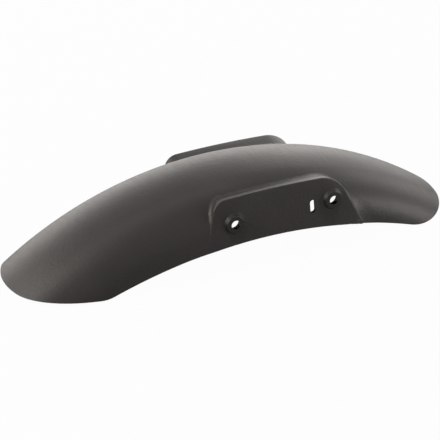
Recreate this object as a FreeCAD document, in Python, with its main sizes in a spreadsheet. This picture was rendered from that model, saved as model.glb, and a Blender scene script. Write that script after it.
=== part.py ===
# Front mudguard of a motorcycle, injection moulded in one piece.
#
# Body frame: the wheel axle is the origin, X runs from the rear tip to the front tip, Y is the
# axle and Z points up through the crest. The finished shell is then set down on the floor, with
# the middle of its length over the origin.
import FreeCAD, Part
import math
import os

import Sketcher
from FreeCAD import Vector

# Driving sizes: millimetres, and degrees where the name ends in angle.
SIZES = [
    ("arch_radius", 350.0, "axle to the outside of the crest"),
    ("crown_radius", 108.5, "section: arc over the crest"),
    ("shoulder_radius", 40.0, "section: arc from the crown into the side"),
    ("draft_angle", 5.0, "lean of the sides and the mounting faces, for release from the mould"),
    ("section_depth", 75.0, "section: crest down to the untrimmed mouth"),
    ("mouth_width", 118.2, "section: outside width at the untrimmed mouth"),
    ("wall", 3.0, "thickness of the moulding"),
    ("shell_height", 76.0, "crest down to the floor that the toes rest on"),
    ("rear_toe_reach", 139.5, "axle back to the rear toe"),
    ("rear_toe_radius", 26.7, "side view: rounding of the rear toe"),
    ("rear_cut_angle", 6.2, "side view: rise of the rear end from toe to tip"),
    ("front_toe_reach", 164.3, "axle forward to the front toe"),
    ("front_toe_radius", 43.5, "side view: rounding of the front toe"),
    ("front_cut_angle", 41.2, "side view: rise of the front end from toe to tip"),
    ("edge_radius", 439.0, "side view: arc of the lower edge between the toes"),
    ("pad_proud", 0.7, "mounting face out from the line of the shell's side"),
    ("pad_forward", 23.0, "axle forward to the middle of the hole line"),
    ("pad_drop", 31.6, "crest down to the middle of the hole line"),
    ("pad_tilt_angle", 1.7, "rise of the hole line towards the front"),
    ("pad_rise", 23.2, "hole line up to the highest point of the pad"),
    ("pad_top_offset", 22.0, "middle of the hole line back to that highest point"),
    ("pad_top_radius", 900.0, "arc of the pad's upper edge"),
    ("pad_rear_length", 67.4, "middle of the hole line back to the pad's rear side"),
    ("pad_rear_angle", 15.0, "flare of the pad's rear side"),
    ("pad_rear_corner", 12.0, "radius of the pad's upper rear corner"),
    ("pad_front_length", 61.4, "middle of the hole line forward to the pad's front side"),
    ("pad_front_angle", 24.0, "flare of the pad's front side"),
    ("pad_front_corner", 28.0, "radius of the pad's upper front corner"),
    ("shelf_angle", 12.0, "fall of the pad's walls from the mounting face in towards the shell"),
    ("pad_round", 1.0, "rounding along the edge of the mounting face"),
    ("hole_spacing", 92.0, "between the two holes of a pad"),
    ("hole_diameter", 8.0, "clearance for an M6 bolt with a sleeve, or an M8 bolt"),
    ("boss_diameter", 19.5, "boss round each hole, in the middle of the pad's wall"),
    ("boss_height", 3.0, "boss out from the mounting face"),
    ("boss_taper_angle", 25.0, "lean of the boss's side"),
    ("boss_round", 0.9, "rounding at the top and the foot of each boss"),
    ("inner_boss_height", 1.2, "stiffening boss behind each hole"),
    ("slot_length", 11.5, "upright slot, end to end"),
    ("slot_width", 5.0, "upright slot, side to side"),
    ("slot_from_hole", 19.0, "front hole back to the slot"),
    ("slot_drop", 2.3, "hole line down to the slot's centre"),
]

# Sizes that follow from the driving ones.
SIDE_LINE = "mouth_width - 2 * (section_depth - pad_drop) * tan(draft_angle)"
DERIVED = [
    ("pad_face_width", f"={SIDE_LINE} + 2 * pad_proud", "across the two mounting faces, on the hole line"),
]

doc = FreeCAD.newDocument("mudguard")
sheet = doc.addObject("Spreadsheet::Sheet", "Sizes")
for row, (alias, number, meaning) in enumerate(SIZES + DERIVED, start=1):
    sheet.set(f"A{row}", alias)
    sheet.set(f"B{row}", str(number))
    sheet.set(f"C{row}", meaning)
    sheet.setAlias(f"B{row}", alias)
doc.recompute()


def size(alias):
    """A driving size as a number, for the first guess of a sketch."""
    return float(sheet.get(alias))


def slope(alias):
    """Tangent of a driving angle."""
    return math.tan(math.radians(size(alias)))


# Point places on a sketch element: its start, its end and a circle's centre.
START, END, CENTRE = 1, 2, 3
# The sketch's own origin and its upright axis.
ORIGIN, UPRIGHT = -1, -2


class Outline:
    """A sketch on one of the body's origin planes, with its dimensions bound to the sheet."""

    def __init__(self, body, name, plane):
        self.sketch = body.newObject("Sketcher::SketchObject", name)
        support = next(item for item in body.Origin.OriginFeatures if item.Role == plane)
        self.sketch.AttachmentSupport = (support, [""])
        self.sketch.MapMode = "FlatFace"

    def line(self, first, second):
        return self.sketch.addGeometry(Part.LineSegment(Vector(*first, 0), Vector(*second, 0)), False)

    def arc(self, centre, radius, start_degrees, end_degrees):
        circle = Part.Circle(Vector(*centre, 0), Vector(0, 0, 1), radius)
        bow = Part.ArcOfCircle(circle, math.radians(start_degrees), math.radians(end_degrees))
        return self.sketch.addGeometry(bow, False)

    def circle(self, centre, radius):
        return self.sketch.addGeometry(Part.Circle(Vector(*centre, 0), Vector(0, 0, 1), radius), False)

    def guide_point(self, place):
        return self.sketch.addGeometry(Part.Point(Vector(*place, 0)), True)

    def fix(self, kind, *elements):
        return self.sketch.addConstraint(Sketcher.Constraint(kind, *elements))

    def bind(self, expression, kind, *elements):
        """Adds a dimension whose value is an expression over the sheet."""
        value = self.sketch.evalExpression(expression)
        number = float(getattr(value, "Value", value))
        if kind == "Angle":
            number = math.radians(number)
        index = self.fix(kind, *elements, number)
        self.sketch.setExpression(f"Constraints[{index}]", expression)


def section_outline(body, name, inset):
    """Cross-section of the arch on the YZ plane, drawn inset from the outside by an expression."""
    outline = Outline(body, name, "YZ_Plane")
    step = sheet.evalExpression(inset)
    lean = math.radians(size("draft_angle"))
    crown = size("crown_radius") - step
    shoulder = size("shoulder_radius") - step
    crown_z = size("arch_radius") - size("crown_radius")
    mouth = size("mouth_width") / 2 + step * math.tan(lean) - step / math.cos(lean)
    mouth_z = size("arch_radius") - size("section_depth") - step
    shoulder_y = size("mouth_width") / 2 - size("shoulder_radius")
    shoulder_z = crown_z + math.sqrt((crown - shoulder) ** 2 - shoulder_y ** 2)
    turn = math.degrees(math.asin(shoulder_y / (crown - shoulder)))
    side_y = shoulder_y + shoulder

    top = outline.arc((0, crown_z), crown, 90 - turn, 90 + turn)
    right_shoulder = outline.arc((shoulder_y, shoulder_z), shoulder, size("draft_angle"), 90 - turn)
    right_side = outline.line((side_y, shoulder_z), (mouth, mouth_z))
    across = outline.line((mouth, mouth_z), (-mouth, mouth_z))
    left_side = outline.line((-mouth, mouth_z), (-side_y, shoulder_z))
    left_shoulder = outline.arc((-shoulder_y, shoulder_z), shoulder, 90 + turn, 180 - size("draft_angle"))

    outline.fix("Tangent", top, START, right_shoulder, END)
    outline.fix("Tangent", right_shoulder, START, right_side, START)
    outline.fix("Coincident", right_side, END, across, START)
    outline.fix("Coincident", across, END, left_side, START)
    outline.fix("Tangent", left_side, END, left_shoulder, END)
    outline.fix("Tangent", left_shoulder, START, top, END)
    outline.fix("PointOnObject", top, CENTRE, UPRIGHT)
    outline.fix("Symmetric", across, START, across, END, UPRIGHT)
    outline.fix("Symmetric", right_side, START, left_side, END, UPRIGHT)
    outline.bind(f"Sizes.crown_radius - ({inset})", "Radius", top)
    outline.bind(f"Sizes.shoulder_radius - ({inset})", "Radius", right_shoulder)
    outline.bind("Sizes.arch_radius - Sizes.crown_radius", "DistanceY", ORIGIN, START, top, CENTRE)
    outline.bind(f"Sizes.arch_radius - Sizes.section_depth - ({inset})", "DistanceY", ORIGIN, START, across, START)
    half_mouth = f"Sizes.mouth_width / 2 + ({inset}) * (tan(Sizes.draft_angle) - 1 / cos(Sizes.draft_angle))"
    outline.bind(half_mouth, "DistanceX", ORIGIN, START, across, START)
    outline.bind("(90 - Sizes.draft_angle) * 1 deg", "Angle", right_side, END, across, START)
    return outline.sketch


def side_trim_outline(body, name):
    """Side view of all that is cut away below: rear end, rear toe, lower edge, front toe, front end."""
    outline = Outline(body, name, "XZ_Plane")
    floor = size("arch_radius") - size("shell_height")
    rear_x, rear_r = -size("rear_toe_reach"), size("rear_toe_radius")
    front_x, front_r = size("front_toe_reach"), size("front_toe_radius")
    edge_r = size("edge_radius")
    edge_x = (rear_x + front_x) / 2
    edge_z = floor - math.sqrt(edge_r ** 2 - (front_x - edge_x) ** 2)
    swing = math.degrees(math.asin((front_x - edge_x) / edge_r))
    outside = size("arch_radius") * 1.05
    rear_start = floor + (outside + rear_x) * slope("rear_cut_angle")
    front_end = floor + (outside - front_x) * slope("front_cut_angle")

    rear_cut = outline.line((-outside, rear_start), (rear_x, floor))
    rear_toe = outline.arc((rear_x, floor + rear_r), rear_r, 270 - size("rear_cut_angle"), 270 + swing)
    edge = outline.arc((edge_x, edge_z), edge_r, 90 - swing, 90 + swing)
    front_toe = outline.arc((front_x, floor + front_r), front_r, 270 - swing, 270 + size("front_cut_angle"))
    front_cut = outline.line((front_x, floor), (outside, front_end))
    front_drop = outline.line((outside, front_end), (outside, 0))
    bottom = outline.line((outside, 0), (-outside, 0))
    rear_rise = outline.line((-outside, 0), (-outside, rear_start))

    outline.fix("Tangent", rear_cut, END, rear_toe, START)
    outline.fix("Tangent", rear_toe, END, edge, END)
    outline.fix("Tangent", edge, START, front_toe, START)
    outline.fix("Tangent", front_toe, END, front_cut, START)
    outline.fix("Coincident", front_cut, END, front_drop, START)
    outline.fix("Coincident", front_drop, END, bottom, START)
    outline.fix("Coincident", bottom, END, rear_rise, START)
    outline.fix("Coincident", rear_rise, END, rear_cut, START)
    outline.fix("Vertical", front_drop)
    outline.fix("Vertical", rear_rise)
    outline.fix("Horizontal", bottom)
    outline.fix("PointOnObject", bottom, START, ORIGIN)
    outline.bind("Sizes.arch_radius * 1.05", "DistanceX", ORIGIN, START, bottom, START)
    outline.bind("Sizes.arch_radius * 1.05", "DistanceX", bottom, END, ORIGIN, START)
    outline.bind("Sizes.rear_toe_radius", "Radius", rear_toe)
    outline.bind("Sizes.front_toe_radius", "Radius", front_toe)
    outline.bind("Sizes.edge_radius", "Radius", edge)
    outline.bind("Sizes.rear_toe_reach", "DistanceX", rear_toe, CENTRE, ORIGIN, START)
    outline.bind("Sizes.front_toe_reach", "DistanceX", ORIGIN, START, front_toe, CENTRE)
    above_axle = "Sizes.arch_radius - Sizes.shell_height"
    outline.bind(f"{above_axle} + Sizes.rear_toe_radius", "DistanceY", ORIGIN, START, rear_toe, CENTRE)
    outline.bind(f"{above_axle} + Sizes.front_toe_radius", "DistanceY", ORIGIN, START, front_toe, CENTRE)
    outline.bind("(90 - Sizes.rear_cut_angle) * 1 deg", "Angle", rear_rise, END, rear_cut, START)
    outline.bind("(90 - Sizes.front_cut_angle) * 1 deg", "Angle", front_cut, END, front_drop, START)
    return outline.sketch


def set_on_pad(sketch, outward="0"):
    """Moves a sketch of the XZ plane to the middle of the hole line, and out towards -Y."""
    place = f"vector(Sizes.pad_forward; Sizes.arch_radius - Sizes.pad_drop; {outward})"
    sketch.setExpression("AttachmentOffset", f"placement({place}; rotation(Sizes.pad_tilt_angle; 0; 0))")
    return sketch


def lean_on_pad(sketch, depth):
    """Lays a sketch of the XZ plane on the near mounting face, or parallel to it behind a depth of wall."""
    along = f"({depth}) / cos(Sizes.shelf_angle - Sizes.draft_angle)"
    up = f"Sizes.arch_radius - Sizes.pad_drop - {along} * sin(Sizes.shelf_angle)"
    outward = f"Sizes.pad_face_width / 2 - {along} * cos(Sizes.shelf_angle)"
    turn = "rotation(Sizes.pad_tilt_angle; 0; -Sizes.draft_angle)"
    sketch.setExpression("AttachmentOffset", f"placement(vector(Sizes.pad_forward; {up}; {outward}); {turn})")
    return sketch


def pad_outline(body, name, inset):
    """Outline of the near mounting pad, drawn inset from its outside by an expression."""
    outline = Outline(body, name, "XZ_Plane")
    step = sheet.evalExpression(inset)
    rise = size("pad_rise") - step
    foot = size("pad_drop") - size("section_depth") - step
    top_r = size("pad_top_radius") - step
    rear_r = size("pad_rear_corner") - step
    front_r = size("pad_front_corner") - step
    rear_x = -size("pad_rear_length") + step / math.cos(math.radians(size("pad_rear_angle")))
    front_x = size("pad_front_length") - step / math.cos(math.radians(size("pad_front_angle")))
    rear_lean, front_lean = slope("pad_rear_angle"), slope("pad_front_angle")
    rear_centre = (rear_x + rise * rear_lean + rear_r, rise - 2 * rear_r)
    front_centre = (front_x - rise * front_lean - front_r / 2, rise - 1.3 * front_r)

    rear_side = outline.line((rear_x + foot * rear_lean, foot), (rear_x + rise / 2 * rear_lean, rise / 2))
    rear_corner = outline.arc(rear_centre, rear_r, 95, 180 - size("pad_rear_angle"))
    top = outline.arc((-size("pad_top_offset"), rise - top_r), top_r, 86, 92)
    front_corner = outline.arc(front_centre, front_r, size("pad_front_angle"), 85)
    front_side = outline.line((front_x - rise / 2 * front_lean, rise / 2), (front_x - foot * front_lean, foot))
    across = outline.line((front_x - foot * front_lean, foot), (rear_x + foot * rear_lean, foot))
    rear_guide = outline.guide_point((rear_x, 0))
    front_guide = outline.guide_point((front_x, 0))

    outline.fix("Tangent", rear_side, END, rear_corner, END)
    outline.fix("Tangent", rear_corner, START, top, END)
    outline.fix("Tangent", top, START, front_corner, END)
    outline.fix("Tangent", front_corner, START, front_side, START)
    outline.fix("Coincident", front_side, END, across, START)
    outline.fix("Coincident", across, END, rear_side, START)
    outline.fix("Horizontal", across)
    outline.fix("PointOnObject", rear_guide, START, ORIGIN)
    outline.fix("PointOnObject", rear_guide, START, rear_side)
    outline.fix("PointOnObject", front_guide, START, ORIGIN)
    outline.fix("PointOnObject", front_guide, START, front_side)
    outline.bind(f"Sizes.pad_top_radius - ({inset})", "Radius", top)
    outline.bind(f"Sizes.pad_rear_corner - ({inset})", "Radius", rear_corner)
    outline.bind(f"Sizes.pad_front_corner - ({inset})", "Radius", front_corner)
    outline.bind("Sizes.pad_top_offset", "DistanceX", top, CENTRE, ORIGIN, START)
    outline.bind("Sizes.pad_top_radius - Sizes.pad_rise", "DistanceY", top, CENTRE, ORIGIN, START)
    foot_drop = f"Sizes.section_depth - Sizes.pad_drop + ({inset})"
    outline.bind(foot_drop, "DistanceY", across, START, ORIGIN, START)
    rear_reach = f"Sizes.pad_rear_length - ({inset}) / cos(Sizes.pad_rear_angle)"
    outline.bind(rear_reach, "DistanceX", rear_guide, START, ORIGIN, START)
    front_reach = f"Sizes.pad_front_length - ({inset}) / cos(Sizes.pad_front_angle)"
    outline.bind(front_reach, "DistanceX", ORIGIN, START, front_guide, START)
    outline.bind("(90 - Sizes.pad_rear_angle) * 1 deg", "Angle", across, END, rear_side, START)
    outline.bind("(90 - Sizes.pad_front_angle) * 1 deg", "Angle", front_side, END, across, START)
    return lean_on_pad(outline.sketch, inset)


def hole_circles(body, name, diameter, outward="0"):
    """Two circles on the hole line, of a diameter given by an expression."""
    outline = Outline(body, name, "XZ_Plane")
    for side in (-1, 1):
        hole = outline.circle((side * size("hole_spacing") / 2, 0), sheet.evalExpression(diameter) / 2)
        outline.fix("PointOnObject", hole, CENTRE, ORIGIN)
        outline.bind(diameter, "Diameter", hole)
        ends = (ORIGIN, START, hole, CENTRE) if side > 0 else (hole, CENTRE, ORIGIN, START)
        outline.bind("Sizes.hole_spacing / 2", "DistanceX", *ends)
    return set_on_pad(outline.sketch, outward)


def slot_outline(body, name):
    """Upright slot with round ends, behind the front hole."""
    outline = Outline(body, name, "XZ_Plane")
    x = size("hole_spacing") / 2 - size("slot_from_hole")
    radius = size("slot_width") / 2
    reach = size("slot_length") / 2 - radius
    high, low = reach - size("slot_drop"), -reach - size("slot_drop")
    upper = outline.arc((x, high), radius, 0, 180)
    rear_side = outline.line((x - radius, high), (x - radius, low))
    lower = outline.arc((x, low), radius, 180, 360)
    front_side = outline.line((x + radius, low), (x + radius, high))
    outline.fix("Tangent", upper, END, rear_side, START)
    outline.fix("Tangent", rear_side, END, lower, START)
    outline.fix("Tangent", lower, END, front_side, START)
    outline.fix("Tangent", front_side, END, upper, START)
    outline.fix("Vertical", rear_side)
    outline.fix("Vertical", front_side)
    outline.bind("Sizes.slot_width / 2", "Radius", upper)
    outline.bind("Sizes.slot_length - Sizes.slot_width", "DistanceY", lower, CENTRE, upper, CENTRE)
    outline.bind("Sizes.hole_spacing / 2 - Sizes.slot_from_hole", "DistanceX", ORIGIN, START, upper, CENTRE)
    upper_rise = "(Sizes.slot_length - Sizes.slot_width) / 2 - Sizes.slot_drop"
    outline.bind(upper_rise, "DistanceY", ORIGIN, START, upper, CENTRE)
    return set_on_pad(outline.sketch)


def swing(body, kind, name, sketch):
    """Revolution or Groove of a section about the axle, the same way to front and rear."""
    feature = body.newObject(f"PartDesign::{kind}", name)
    feature.Profile = sketch
    axle = next(item for item in body.Origin.OriginFeatures if item.Role == "Y_Axis")
    feature.ReferenceAxis = (axle, [""])
    feature.Angle = 120
    feature.Midplane = True
    return feature


def extrude(body, kind, name, sketch, length, both_ways=True):
    """Pad or Pocket of a sketch, by a length given by an expression."""
    feature = body.newObject(f"PartDesign::{kind}", name)
    feature.Profile = sketch
    feature.SideType = "Symmetric" if both_ways else "One side"
    feature.setExpression("Length", length)
    return feature


def extrude_inwards(body, kind, name, sketch):
    """Pad or Pocket from the near mounting face in towards the middle, falling with the shelf."""
    feature = extrude(body, kind, name, sketch, "Sizes.pad_face_width / 3", both_ways=False)
    feature.UseCustomVector = True
    feature.AlongSketchNormal = False
    feature.Direction = Vector(0, math.cos(math.radians(size("shelf_angle"))), -math.sin(math.radians(size("shelf_angle"))))
    feature.setExpression("Direction", "vector(0; cos(Sizes.shelf_angle); -sin(Sizes.shelf_angle))")
    return feature


def mirror(body, name, features):
    """The same features on the far side."""
    feature = body.newObject("PartDesign::Mirrored", name)
    feature.Originals = features
    middle = next(item for item in body.Origin.OriginFeatures if item.Role == "XZ_Plane")
    feature.MirrorPlane = (middle, [""])
    body.Tip = feature
    return feature


def on_mounting_face(edge, pad_sketch):
    """Whether an edge lies on the near mounting face, or on the far one."""
    to_sketch = pad_sketch.Placement.inverse()
    places = (edge.FirstParameter, (edge.FirstParameter + edge.LastParameter) / 2, edge.LastParameter)
    points = [edge.valueAt(place) for place in places]
    return all(abs(to_sketch.multVec(Vector(point.x, -abs(point.y), point.z)).z) < 0.001 for point in points)


def pad_edges(shape, pad_sketch):
    """Names of the edges round both mounting faces, apart from the foot that is trimmed off later."""
    foot = size("arch_radius") - size("section_depth")
    names = []
    for number, edge in enumerate(shape.Edges, start=1):
        if on_mounting_face(edge, pad_sketch) and edge.BoundBox.ZMax > foot + size("wall") * 2:
            names.append(f"Edge{number}")
    return names


def boss_edges(shape, pad_sketch):
    """Names of the rings at the top and at the foot of the outer bosses, on both pads."""
    top = size("pad_face_width") / 2 + size("boss_height")
    names = []
    for number, edge in enumerate(shape.Edges, start=1):
        on_top = min(abs(edge.BoundBox.YMin), abs(edge.BoundBox.YMax)) > top - 0.001
        if on_top or (edge.isClosed() and on_mounting_face(edge, pad_sketch)):
            names.append(f"Edge{number}")
    return names


def round_over(body, name, base, edges, radius):
    """Fillet of named edges, by a radius given by an expression."""
    feature = body.newObject("PartDesign::Fillet", name)
    feature.Base = (base, edges)
    feature.setExpression("Radius", radius)
    body.Tip = feature
    return feature


def grows(feature, more):
    """Stops the build if a feature has not changed the solid in the way it should."""
    doc.recompute()
    before = feature.BaseFeature.Shape.Volume
    change = feature.Shape.Volume - before
    if change * more <= 0:
        raise RuntimeError(f"{feature.Label} changed the volume by {change:.1f}")


shell = doc.addObject("PartDesign::Body", "mudguard_shell")
shell.Label = "mudguard_shell"

# The outside: the arch, with a mounting pad on each side.
swing(shell, "Revolution", "arch", section_outline(shell, "arch_section", "0"))
doc.recompute()
pad_shape = pad_outline(shell, "pad_shape", "0")
pad = extrude_inwards(shell, "Pad", "near_pad", pad_shape)
grows(pad, 1)
both_pads = mirror(shell, "far_pad", [pad])
grows(both_pads, 1)
grows(round_over(shell, "pad_rounds", both_pads, pad_edges(both_pads.Shape, pad_shape), "Sizes.pad_round"), -1)

# The inside: hollow arch, and hollow backs of the pads.
grows(swing(shell, "Groove", "hollow", section_outline(shell, "hollow_section", "Sizes.wall")), -1)
pad_back = extrude_inwards(shell, "Pocket", "near_pad_back", pad_outline(shell, "pad_back_shape", "Sizes.wall"))
grows(pad_back, -1)
grows(mirror(shell, "far_pad_back", [pad_back]), -1)

# The side view: both ends and the lower edge.
grows(extrude(shell, "Pocket", "side_trim", side_trim_outline(shell, "side_shape"), "2 * Sizes.pad_face_width"), -1)

# Bosses round the holes, from the middle of the pad's wall out and in, then on the far pad.
middle_of_wall = "Sizes.pad_face_width / 2 - Sizes.wall / 2"
boss = extrude(shell, "Pad", "bosses", hole_circles(shell, "boss_feet", "Sizes.boss_diameter", middle_of_wall),
               "Sizes.wall / 2 + Sizes.boss_height", both_ways=False)
boss.setExpression("TaperAngle", "-Sizes.boss_taper_angle * 1 deg")
grows(boss, 1)
stiffener = extrude(shell, "Pad", "inner_bosses",
                    hole_circles(shell, "inner_boss_feet", "Sizes.boss_diameter", middle_of_wall),
                    "Sizes.wall / 2 + Sizes.inner_boss_height", both_ways=False)
stiffener.Reversed = True
grows(stiffener, 1)
all_bosses = mirror(shell, "far_bosses", [boss, stiffener])
grows(all_bosses, 1)
round_over(shell, "boss_rounds", all_bosses, boss_edges(all_bosses.Shape, pad_shape), "Sizes.boss_round")
doc.recompute()

# Holes and slots, straight through both pads.
grows(extrude(shell, "Pocket", "holes", hole_circles(shell, "hole_shape", "Sizes.hole_diameter"),
              "2 * Sizes.pad_face_width"), -1)
grows(extrude(shell, "Pocket", "slots", slot_outline(shell, "slot_shape"), "2 * Sizes.pad_face_width"), -1)

# Set down on the floor, with the middle of the length over the origin.
doc.recompute()
reach = shell.Shape.optimalBoundingBox()
shell.Placement.Base = Vector(-(reach.XMin + reach.XMax) / 2, 0, size("shell_height") - size("arch_radius"))
doc.recompute()

for item in doc.Objects:
    if {"Invalid", "Error"} & set(item.State):
        raise RuntimeError(f"{item.Label} failed: {item.State}")
sub_parts = [shell]
for item in sub_parts:
    if item.Shape.isNull() or not item.Shape.isValid():
        raise RuntimeError(f"{item.Label} has no valid shape")

os.makedirs("parts", exist_ok=True)
for item in sub_parts:
    box = item.Shape.optimalBoundingBox()
    print(item.Label, len(item.Shape.Solids), "solid", f"{item.Shape.Volume / 1000:.1f} cm3",
          f"{box.XLength:.1f} x {box.YLength:.1f} x {box.ZLength:.1f} mm, lowest {box.ZMin:.3f}")
    item.Shape.exportStep(f"parts/{item.Label}.step")
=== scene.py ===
import bmesh
import bpy
import math
from mathutils import Matrix, Vector, kdtree


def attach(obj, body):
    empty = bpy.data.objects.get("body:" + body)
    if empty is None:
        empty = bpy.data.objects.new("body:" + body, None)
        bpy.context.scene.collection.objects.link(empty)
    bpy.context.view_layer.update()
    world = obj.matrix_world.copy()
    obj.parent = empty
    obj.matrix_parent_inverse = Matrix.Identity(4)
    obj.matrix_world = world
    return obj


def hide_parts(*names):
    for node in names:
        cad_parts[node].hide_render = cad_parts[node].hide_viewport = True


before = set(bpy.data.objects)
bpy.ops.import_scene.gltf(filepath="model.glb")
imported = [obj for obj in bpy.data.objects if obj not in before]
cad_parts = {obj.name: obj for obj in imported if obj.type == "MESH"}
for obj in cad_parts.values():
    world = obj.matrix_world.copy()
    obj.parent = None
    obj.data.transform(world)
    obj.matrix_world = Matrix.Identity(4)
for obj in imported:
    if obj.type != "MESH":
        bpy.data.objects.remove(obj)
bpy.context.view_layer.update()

# The photograph is taken as 440 by 440 pixels.
IMAGE_PIXELS = 440
SENSOR_MM = 36.0

# The camera that the photograph's outline gives: where it looks, from which side, and how far away.
AIM = Vector((-0.0068, 0.0, 0.0190))
AZIMUTH = math.radians(23.15)
ELEVATION = math.radians(26.55)
ROLL = math.radians(-1.72)
DISTANCE = 1.015
FOCAL_PIXELS = 1153.5

# The studio: slightly warm lamps aimed at the middle of the shell, an even light from the room, and a white
# table top. Seen and mirrored are how white the room and the table look to the camera and in reflections.
WARM_WHITE = (1.0, 0.955, 0.92)
MIDDLE = Vector((0.0, 0.0, 0.04))
ROOM_LIGHT = 0.2
ROOM_SEEN = 1.0
ROOM_MIRRORED = 0.53
TABLE_GREY = 0.5
TABLE_HALF = 4.0
TABLE_SEEN = 0.97
TABLE_MIRRORED = 0.1

# The wheel's axle, and the radius of the middle of the hollow that the tyre runs in.
AXLE = Vector((0.0053, 0.0, -0.274))
HOLLOW_RADIUS = 0.285

# The arch's section: crest radius, half of the mouth, depth, draft of the sides, and the shoulder.
CREST_RADIUS = 0.350
MOUTH_HALF = 0.0591
SECTION_DEPTH = 0.075
SIDE_DRAFT = math.radians(5)
SHOULDER_DEPTH = 0.0384
SHOULDER_RADIUS = 0.040

# The front side of a pad sinks part of the way into the arch towards the lower edge: a point on its foot
# line, that line's lean, the length of the fade, its lowest and highest place, and the share it sinks by.
FRONT_FOOT = (0.1040, 0.0162)
FRONT_SLOPE = 0.5
FRONT_FADE = 0.024
FRONT_LOW = 0.023
FRONT_HIGH = 0.041
FRONT_SINK = 0.4

# The bolt holes: where they sit in the pads, how far their backs open, and each boss's ring of painted
# shade.
HOLE_PLACES = ((-0.01767, 0.04304), (0.07429, 0.04577))
BORE_RADIUS = 0.0043
BORE_BACK = 0.0535
BORE_TAPER = 1.35
PAINTED_SHADE_INNER = 0.0085
PAINTED_SHADE_OUTER = 0.0110

# The mesh: points this near each other are one, and corners sharper than this angle are shaded as sharp.
SAME_POINT = 0.000002
SHARP_ANGLE = math.radians(25)

# The soft cove where the pads grow out of the arch: which inner corners are feet, the finer mesh there,
# and how the cove's reach grows towards the lower edge.
FOOT_ANGLE = math.radians(40)
FOOT_STEP = 0.0015
COVE_MESH = 0.0014
COVE_HALVINGS = 6
COVE_MARGIN = 1.4
COVE_REACH = 0.0028
FADE_REACH = 0.012
FADE_TOP = 0.052
FADE_HEIGHT = 0.024
FLAT_ANGLE = math.radians(8)

# The shell's lower edge: how sharp its corners are, how far a face there points down, and smoothing turns.
RIM_ANGLE = math.radians(50)
RIM_FACES_DOWN = -0.7
RIM_TURNS = 200

# The passes that soften the cove: share of its reach, turns, and the height that the feet lie below.
SOFTENING = 0.5
ANY_HEIGHT = 1.0
COVE_PASSES = (
    (1.0, 6, ANY_HEIGHT),
    (0.75, 8, ANY_HEIGHT),
    (0.5, 8, ANY_HEIGHT),
    (1.0, 60, 0.030),
    (0.9, 60, 0.036),
    (0.8, 40, 0.042),
    (0.7, 24, 0.048),
    (0.6, 10, 0.054),
)

# The plastic: two shades that its tone wanders between, the boss rings' painted shade, and its roughness.
DARK_SHADE = (0.0210, 0.0176, 0.0160)
LIGHT_SHADE = (0.0285, 0.0242, 0.0222)
PAINTED_RING_SHADE = (0.009, 0.0077, 0.0071)
LEAST_ROUGH = 0.41
MOST_ROUGH = 0.45


def colour(red, green, blue):
    """A colour with full alpha."""
    return (red, green, blue, 1.0)


def new_material(name):
    """An empty node material with its output node."""
    material = bpy.data.materials.new(name)
    material.use_nodes = True
    nodes = material.node_tree.nodes
    nodes.clear()
    output = nodes.new("ShaderNodeOutputMaterial")
    return material, nodes, material.node_tree.links, output


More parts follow.
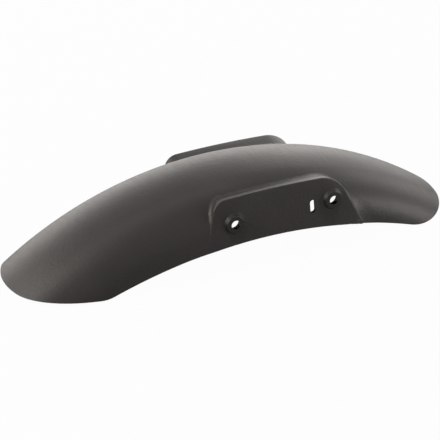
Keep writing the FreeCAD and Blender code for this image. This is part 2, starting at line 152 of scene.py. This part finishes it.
def moulded_plastic():
    """Black plastic with a mould's fine grain, faint flow streaks, an uneven tone and painted shade round
    the bosses.
    """
    material, nodes, links, output = new_material("moulded_plastic")
    place = nodes.new("ShaderNodeTexCoord")
    shader = nodes.new("ShaderNodeBsdfPrincipled")
    shader.inputs["IOR"].default_value = 1.5

    tone = nodes.new("ShaderNodeTexNoise")
    tone.inputs["Scale"].default_value = 26.0
    tone.inputs["Detail"].default_value = 3.0
    shades = nodes.new("ShaderNodeValToRGB")
    shades.color_ramp.elements[0].position = 0.3
    shades.color_ramp.elements[0].color = colour(*DARK_SHADE)
    shades.color_ramp.elements[1].position = 0.7
    shades.color_ramp.elements[1].color = colour(*LIGHT_SHADE)
    links.new(place.outputs["Object"], tone.inputs["Vector"])
    links.new(tone.outputs["Fac"], shades.inputs["Fac"])
    # Painted shade: the rings round the bolt bosses get a darker base colour.
    ring_painted_shade = nodes.new("ShaderNodeAttribute")
    ring_painted_shade.attribute_name = "ring_painted_shade"
    colour_with_painted_shade = nodes.new("ShaderNodeMix")
    colour_with_painted_shade.data_type = "RGBA"
    colour_with_painted_shade.inputs["B"].default_value = colour(*PAINTED_RING_SHADE)
    links.new(ring_painted_shade.outputs["Fac"], colour_with_painted_shade.inputs["Factor"])
    links.new(shades.outputs["Color"], colour_with_painted_shade.inputs["A"])
    links.new(colour_with_painted_shade.outputs["Result"], shader.inputs["Base Color"])

    flow = nodes.new("ShaderNodeMapping")
    flow.inputs["Rotation"].default_value = (0.0, math.radians(-35), math.radians(20))
    flow.inputs["Scale"].default_value = (300.0, 70.0, 70.0)
    streaks = nodes.new("ShaderNodeTexNoise")
    streaks.inputs["Scale"].default_value = 1.0
    streaks.inputs["Detail"].default_value = 2.0
    gloss = nodes.new("ShaderNodeMapRange")
    gloss.inputs["From Min"].default_value = 0.3
    gloss.inputs["From Max"].default_value = 0.7
    gloss.inputs["To Min"].default_value = LEAST_ROUGH
    gloss.inputs["To Max"].default_value = MOST_ROUGH
    links.new(place.outputs["Object"], flow.inputs["Vector"])
    links.new(flow.outputs["Vector"], streaks.inputs["Vector"])
    links.new(streaks.outputs["Fac"], gloss.inputs["Value"])
    links.new(gloss.outputs["Result"], shader.inputs["Roughness"])

    grain = nodes.new("ShaderNodeTexNoise")
    grain.inputs["Scale"].default_value = 430.0
    grain.inputs["Detail"].default_value = 3.0
    fine_bump = nodes.new("ShaderNodeBump")
    fine_bump.inputs["Strength"].default_value = 0.35
    fine_bump.inputs["Distance"].default_value = 0.0005
    streak_bump = nodes.new("ShaderNodeBump")
    streak_bump.inputs["Strength"].default_value = 0.025
    streak_bump.inputs["Distance"].default_value = 0.0004
    links.new(place.outputs["Object"], grain.inputs["Vector"])
    links.new(streaks.outputs["Fac"], streak_bump.inputs["Height"])
    links.new(grain.outputs["Fac"], fine_bump.inputs["Height"])
    links.new(streak_bump.outputs["Normal"], fine_bump.inputs["Normal"])
    links.new(fine_bump.outputs["Normal"], shader.inputs["Normal"])
    links.new(shader.outputs["BSDF"], output.inputs["Surface"])
    return material


def away_from_tyre(point):
    """Direction to a point from the middle of the hollow, at the point's own angle round the axle."""
    arm = point - AXLE
    middle = Vector((arm.x, 0.0, arm.z)).normalized() * HOLLOW_RADIUS
    return arm - middle


def pad_feet(work):
    """Points along the sharp inner corners where the pads' walls stand on the outside of the arch."""
    points = []
    for edge in work.edges:
        if edge.calc_face_angle_signed() > -FOOT_ANGLE:
            continue
        start, end = (vert.co for vert in edge.verts)
        outward = away_from_tyre((start + end) / 2)
        if any(face.normal.dot(outward) < 0 for face in edge.link_faces):
            continue
        steps = max(1, math.ceil(edge.calc_length() / FOOT_STEP))
        for step in range(steps + 1):
            points.append(start.lerp(end, step / steps))
    return points


def near_feet(work, tree, share, ceiling=ANY_HEIGHT):
    """Points of the outside within a share of the cove's reach, which grows towards the lower edge."""
    found = []
    for vert in work.verts:
        place, index, distance = tree.find(vert.co)
        if place.z > ceiling:
            continue
        low = min(1.0, max(0.0, (FADE_TOP - place.z) / FADE_HEIGHT))
        if distance > share * (COVE_REACH + low * FADE_REACH):
            continue
        if vert.normal.dot(away_from_tyre(vert.co)) > 0:
            found.append(vert)
    return found


def eased(share):
    """A share from 0 to 1 that starts and ends gently."""
    held = min(1.0, max(0.0, share))
    return held * held * (3.0 - 2.0 * held)


def arch_half_width(point):
    """Half of the plain arch's outside width at a point's distance from the axle."""
    depth = CREST_RADIUS - math.hypot(point.x - AXLE.x, point.z - AXLE.z)
    above = max(0.0, SHOULDER_DEPTH - depth)
    drafted = MOUTH_HALF - (SECTION_DEPTH - depth) * math.tan(SIDE_DRAFT)
    return drafted - above * above / (2 * SHOULDER_RADIUS)


def sink_front_sides(work):
    """Lets the front side of each pad sink part of the way into the arch towards the lower edge."""
    for vert in work.verts:
        point = vert.co
        if point.x < FRONT_FOOT[0] - 2 * FRONT_FADE or point.z > FRONT_HIGH:
            continue
        if vert.normal.dot(away_from_tyre(point)) <= 0:
            continue
        proud = abs(point.y) - arch_half_width(point)
        if proud <= 0:
            continue
        behind = FRONT_FOOT[0] - (point.z - FRONT_FOOT[1]) * FRONT_SLOPE - point.x
        along = eased(1.0 - behind / FRONT_FADE)
        low = eased((FRONT_HIGH - point.z) / (FRONT_HIGH - FRONT_LOW))
        point.y -= math.copysign(proud * along * low * FRONT_SINK, point.y)


def even_triangles(work, close):
    """Turns the flat edges near the pads' feet so that the triangles there are more even."""
    flat = []
    for edge in work.edges:
        inside = edge.verts[0] in close and edge.verts[1] in close
        if inside and edge.calc_face_angle() < FLAT_ANGLE:
            flat.append(edge)
    chosen = set(flat)
    faces = [face for face in work.faces if any(edge in chosen for edge in face.edges)]
    bmesh.ops.beautify_fill(work, faces=faces, edges=flat, method="ANGLE")
    work.normal_update()


def rim_edges(vert):
    """The sharp corners of the shell's lower edge that meet at a point."""
    found = []
    for edge in vert.link_edges:
        lowest = min(face.normal.z for face in edge.link_faces)
        if edge.calc_face_angle_signed() > RIM_ANGLE and lowest < RIM_FACES_DOWN:
            found.append(edge)
    return found


def even_rim(verts):
    """Draws out the small step where the side of a pad meets the lower edge of the shell."""
    runs = []
    for vert in verts:
        edges = rim_edges(vert)
        if len(edges) == 2:
            runs.append((vert, edges[0].other_vert(vert), edges[1].other_vert(vert)))
    for turn in range(RIM_TURNS):
        for vert, before, after in runs:
            vert.co = vert.co / 2 + (before.co + after.co) / 4


def blend_pads(work):
    """Rounds the feet of the pads' walls into the arch with a soft cove, which widens lower down."""
    feet = pad_feet(work)
    tree = kdtree.KDTree(len(feet))
    for index, point in enumerate(feet):
        tree.insert(point, index)
    tree.balance()
    for turn in range(COVE_HALVINGS):
        close = set(near_feet(work, tree, COVE_MARGIN))
        long_edges = []
        for edge in work.edges:
            touches = edge.verts[0] in close or edge.verts[1] in close
            if touches and edge.calc_length() > COVE_MESH:
                long_edges.append(edge)
        if not long_edges:
            break
        bmesh.ops.subdivide_edges(work, edges=long_edges, cuts=1, use_single_edge=True)
        bmesh.ops.triangulate(work, faces=[face for face in work.faces if len(face.verts) > 3])
    even_triangles(work, set(near_feet(work, tree, COVE_MARGIN)))
    sink_front_sides(work)
    even_rim(near_feet(work, tree, 1.0, FADE_TOP))
    for share, turns, ceiling in COVE_PASSES:
        soft = [vert for vert in near_feet(work, tree, share, ceiling) if not rim_edges(vert)]
        for turn in range(turns):
            bmesh.ops.smooth_vert(
                work,
                verts=soft,
                factor=SOFTENING,
                use_axis_x=True,
                use_axis_y=True,
                use_axis_z=True,
            )


def hole_distance(point):
    """Distance of a point from the nearest bolt hole's axis."""
    return min(math.hypot(point.x - x, point.z - z) for x, z in HOLE_PLACES)


def taper_bores(work):
    """Opens the back of each bolt hole a little, as the tapered pin that cores it does."""
    for vert in work.verts:
        for x, z in HOLE_PLACES:
            arm = Vector((vert.co.x - x, 0.0, vert.co.z - z))
            if arm.length < BORE_RADIUS and abs(vert.co.y) < BORE_BACK:
                vert.co += arm * (BORE_TAPER - 1.0)


def paint_ring_shade(work):
    """Marks the rings round the bosses, where painted shade darkens the colour."""
    layer = work.verts.layers.float.new("ring_painted_shade")
    for vert in work.verts:
        share = (PAINTED_SHADE_OUTER - hole_distance(vert.co)) / (PAINTED_SHADE_OUTER - PAINTED_SHADE_INNER)
        vert[layer] = min(1.0, max(0.0, share))


def smooth_shell(node):
    """The moulding: a copy of the CAD node, joined, softened round the pads and shaded smooth."""
    mesh = node.data.copy()
    mesh.name = "mudguard_mesh"
    work = bmesh.new()
    work.from_mesh(mesh)
    bmesh.ops.remove_doubles(work, verts=work.verts, dist=SAME_POINT)
    work.normal_update()
    blend_pads(work)
    taper_bores(work)
    paint_ring_shade(work)
    for face in work.faces:
        face.smooth = True
    for edge in work.edges:
        edge.smooth = edge.is_manifold and edge.calc_face_angle() < SHARP_ANGLE
    work.to_mesh(mesh)
    work.free()
    mesh.materials.clear()
    mesh.materials.append(moulded_plastic())
    piece = bpy.data.objects.new("mudguard", mesh)
    bpy.context.scene.collection.objects.link(piece)
    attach(piece, "root")
    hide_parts("mudguard_shell")


def seen_as_white(nodes, links, camera_share, mirror_share):
    """How far a surface counts as plain white: to the camera and through glass, and in reflections."""
    path = nodes.new("ShaderNodeLightPath")
    direct = nodes.new("ShaderNodeMath")
    direct.operation = "MAXIMUM"
    links.new(path.outputs["Is Camera Ray"], direct.inputs[0])
    links.new(path.outputs["Is Transmission Ray"], direct.inputs[1])
    to_camera = nodes.new("ShaderNodeMath")
    to_camera.operation = "MULTIPLY"
    to_camera.inputs[1].default_value = camera_share
    links.new(direct.outputs["Value"], to_camera.inputs[0])
    in_mirror = nodes.new("ShaderNodeMath")
    in_mirror.operation = "MULTIPLY"
    in_mirror.inputs[1].default_value = mirror_share
    links.new(path.outputs["Is Glossy Ray"], in_mirror.inputs[0])
    share = nodes.new("ShaderNodeMath")
    share.operation = "MAXIMUM"
    links.new(to_camera.outputs["Value"], share.inputs[0])
    links.new(in_mirror.outputs["Value"], share.inputs[1])
    return share.outputs["Value"]


def studio_floor():
    """White table top that stays white in the photograph's view and keeps a faint soft shadow."""
    material, nodes, links, output = new_material("white_floor")
    paint = nodes.new("ShaderNodeBsdfDiffuse")
    paint.inputs["Color"].default_value = colour(TABLE_GREY, TABLE_GREY, TABLE_GREY)
    white = nodes.new("ShaderNodeEmission")
    white.inputs["Color"].default_value = colour(1.0, 1.0, 1.0)
    white.inputs["Strength"].default_value = 1.0
    choose = nodes.new("ShaderNodeMixShader")
    links.new(seen_as_white(nodes, links, TABLE_SEEN, TABLE_MIRRORED), choose.inputs["Fac"])
    links.new(paint.outputs["BSDF"], choose.inputs[1])
    links.new(white.outputs["Emission"], choose.inputs[2])
    links.new(choose.outputs["Shader"], output.inputs["Surface"])
    sheet = bmesh.new()
    bmesh.ops.create_grid(sheet, x_segments=1, y_segments=1, size=TABLE_HALF)
    mesh = bpy.data.meshes.new("floor_mesh")
    sheet.to_mesh(mesh)
    sheet.free()
    mesh.materials.append(material)
    floor = bpy.data.objects.new("floor", mesh)
    bpy.context.scene.collection.objects.link(floor)


def studio_world():
    """White behind the object, and an even grey light all round."""
    world = bpy.data.worlds.new("studio")
    bpy.context.scene.world = world
    world.use_nodes = True
    nodes = world.node_tree.nodes
    links = world.node_tree.links
    nodes.clear()
    output = nodes.new("ShaderNodeOutputWorld")
    around = nodes.new("ShaderNodeBackground")
    around.inputs["Color"].default_value = colour(1.0, 1.0, 1.0)
    around.inputs["Strength"].default_value = ROOM_LIGHT
    behind = nodes.new("ShaderNodeBackground")
    behind.inputs["Color"].default_value = colour(1.0, 1.0, 1.0)
    behind.inputs["Strength"].default_value = 1.0
    choose = nodes.new("ShaderNodeMixShader")
    links.new(seen_as_white(nodes, links, ROOM_SEEN, ROOM_MIRRORED), choose.inputs["Fac"])
    links.new(around.outputs["Background"], choose.inputs[1])
    links.new(behind.outputs["Background"], choose.inputs[2])
    links.new(choose.outputs["Shader"], output.inputs["Surface"])


def soft_box(name, place, width, height, power):
    """A large rectangular lamp that looks at the middle of the shell."""
    lamp = bpy.data.lights.new(name, "AREA")
    lamp.shape = "RECTANGLE"
    lamp.size = width
    lamp.size_y = height
    lamp.energy = power
    lamp.color = WARM_WHITE
    lamp_object = bpy.data.objects.new(name, lamp)
    lamp_object.location = place
    towards = MIDDLE - Vector(place)
    lamp_object.rotation_euler = towards.to_track_quat("-Z", "Y").to_euler()
    bpy.context.scene.collection.objects.link(lamp_object)


def photo_camera():
    """Camera at the photograph's viewing angle."""
    back = Vector((
        -math.sin(AZIMUTH) * math.cos(ELEVATION),
        -math.cos(AZIMUTH) * math.cos(ELEVATION),
        math.sin(ELEVATION),
    ))
    right = (-back).cross(Vector((0.0, 0.0, 1.0))).normalized()
    up = back.cross(right)
    turned_right = right * math.cos(ROLL) + up * math.sin(ROLL)
    turned_up = up * math.cos(ROLL) - right * math.sin(ROLL)
    lens = bpy.data.cameras.new("photo_camera")
    lens.sensor_width = SENSOR_MM
    lens.lens = FOCAL_PIXELS * SENSOR_MM / IMAGE_PIXELS
    lens.clip_start = 0.01
    lens.clip_end = 50.0
    camera = bpy.data.objects.new("photo_camera", lens)
    turn = Matrix((turned_right, turned_up, back)).transposed().to_4x4()
    camera.matrix_world = Matrix.Translation(AIM + back * DISTANCE) @ turn
    bpy.context.scene.collection.objects.link(camera)
    bpy.context.scene.camera = camera


bpy.context.scene.view_settings.view_transform = "Standard"
smooth_shell(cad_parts["mudguard_shell"])
studio_floor()
studio_world()
soft_box("back_light", (0.1, 1.6, 0.55), 2.4, 0.5, 8.0)
soft_box("back_left_light", (-1.1, 1.1, 0.9), 0.9, 0.8, 1.0)
soft_box("back_right_light", (1.1, 1.1, 0.9), 0.9, 0.8, 2.5)
soft_box("low_back_right_light", (1.2, 1.7, 0.14), 1.4, 0.28, 4.0)
soft_box("low_back_light", (-0.1, 1.7, 0.14), 1.2, 0.28, 3.0)
soft_box("left_light", (-1.5, 0.2, 0.7), 1.8, 1.2, 20.0)
soft_box("left_near_light", (-1.3, -0.3, 1.2), 1.2, 1.0, 5.0)
soft_box("right_light", (1.5, 0.2, 0.7), 1.0, 0.9, 6.5)
soft_box("right_near_light", (0.9, -0.6, 0.16), 0.5, 0.28, 2.6)
soft_box("top_light", (0.0, 0.15, 1.7), 1.6, 0.9, 3.0)
photo_camera()
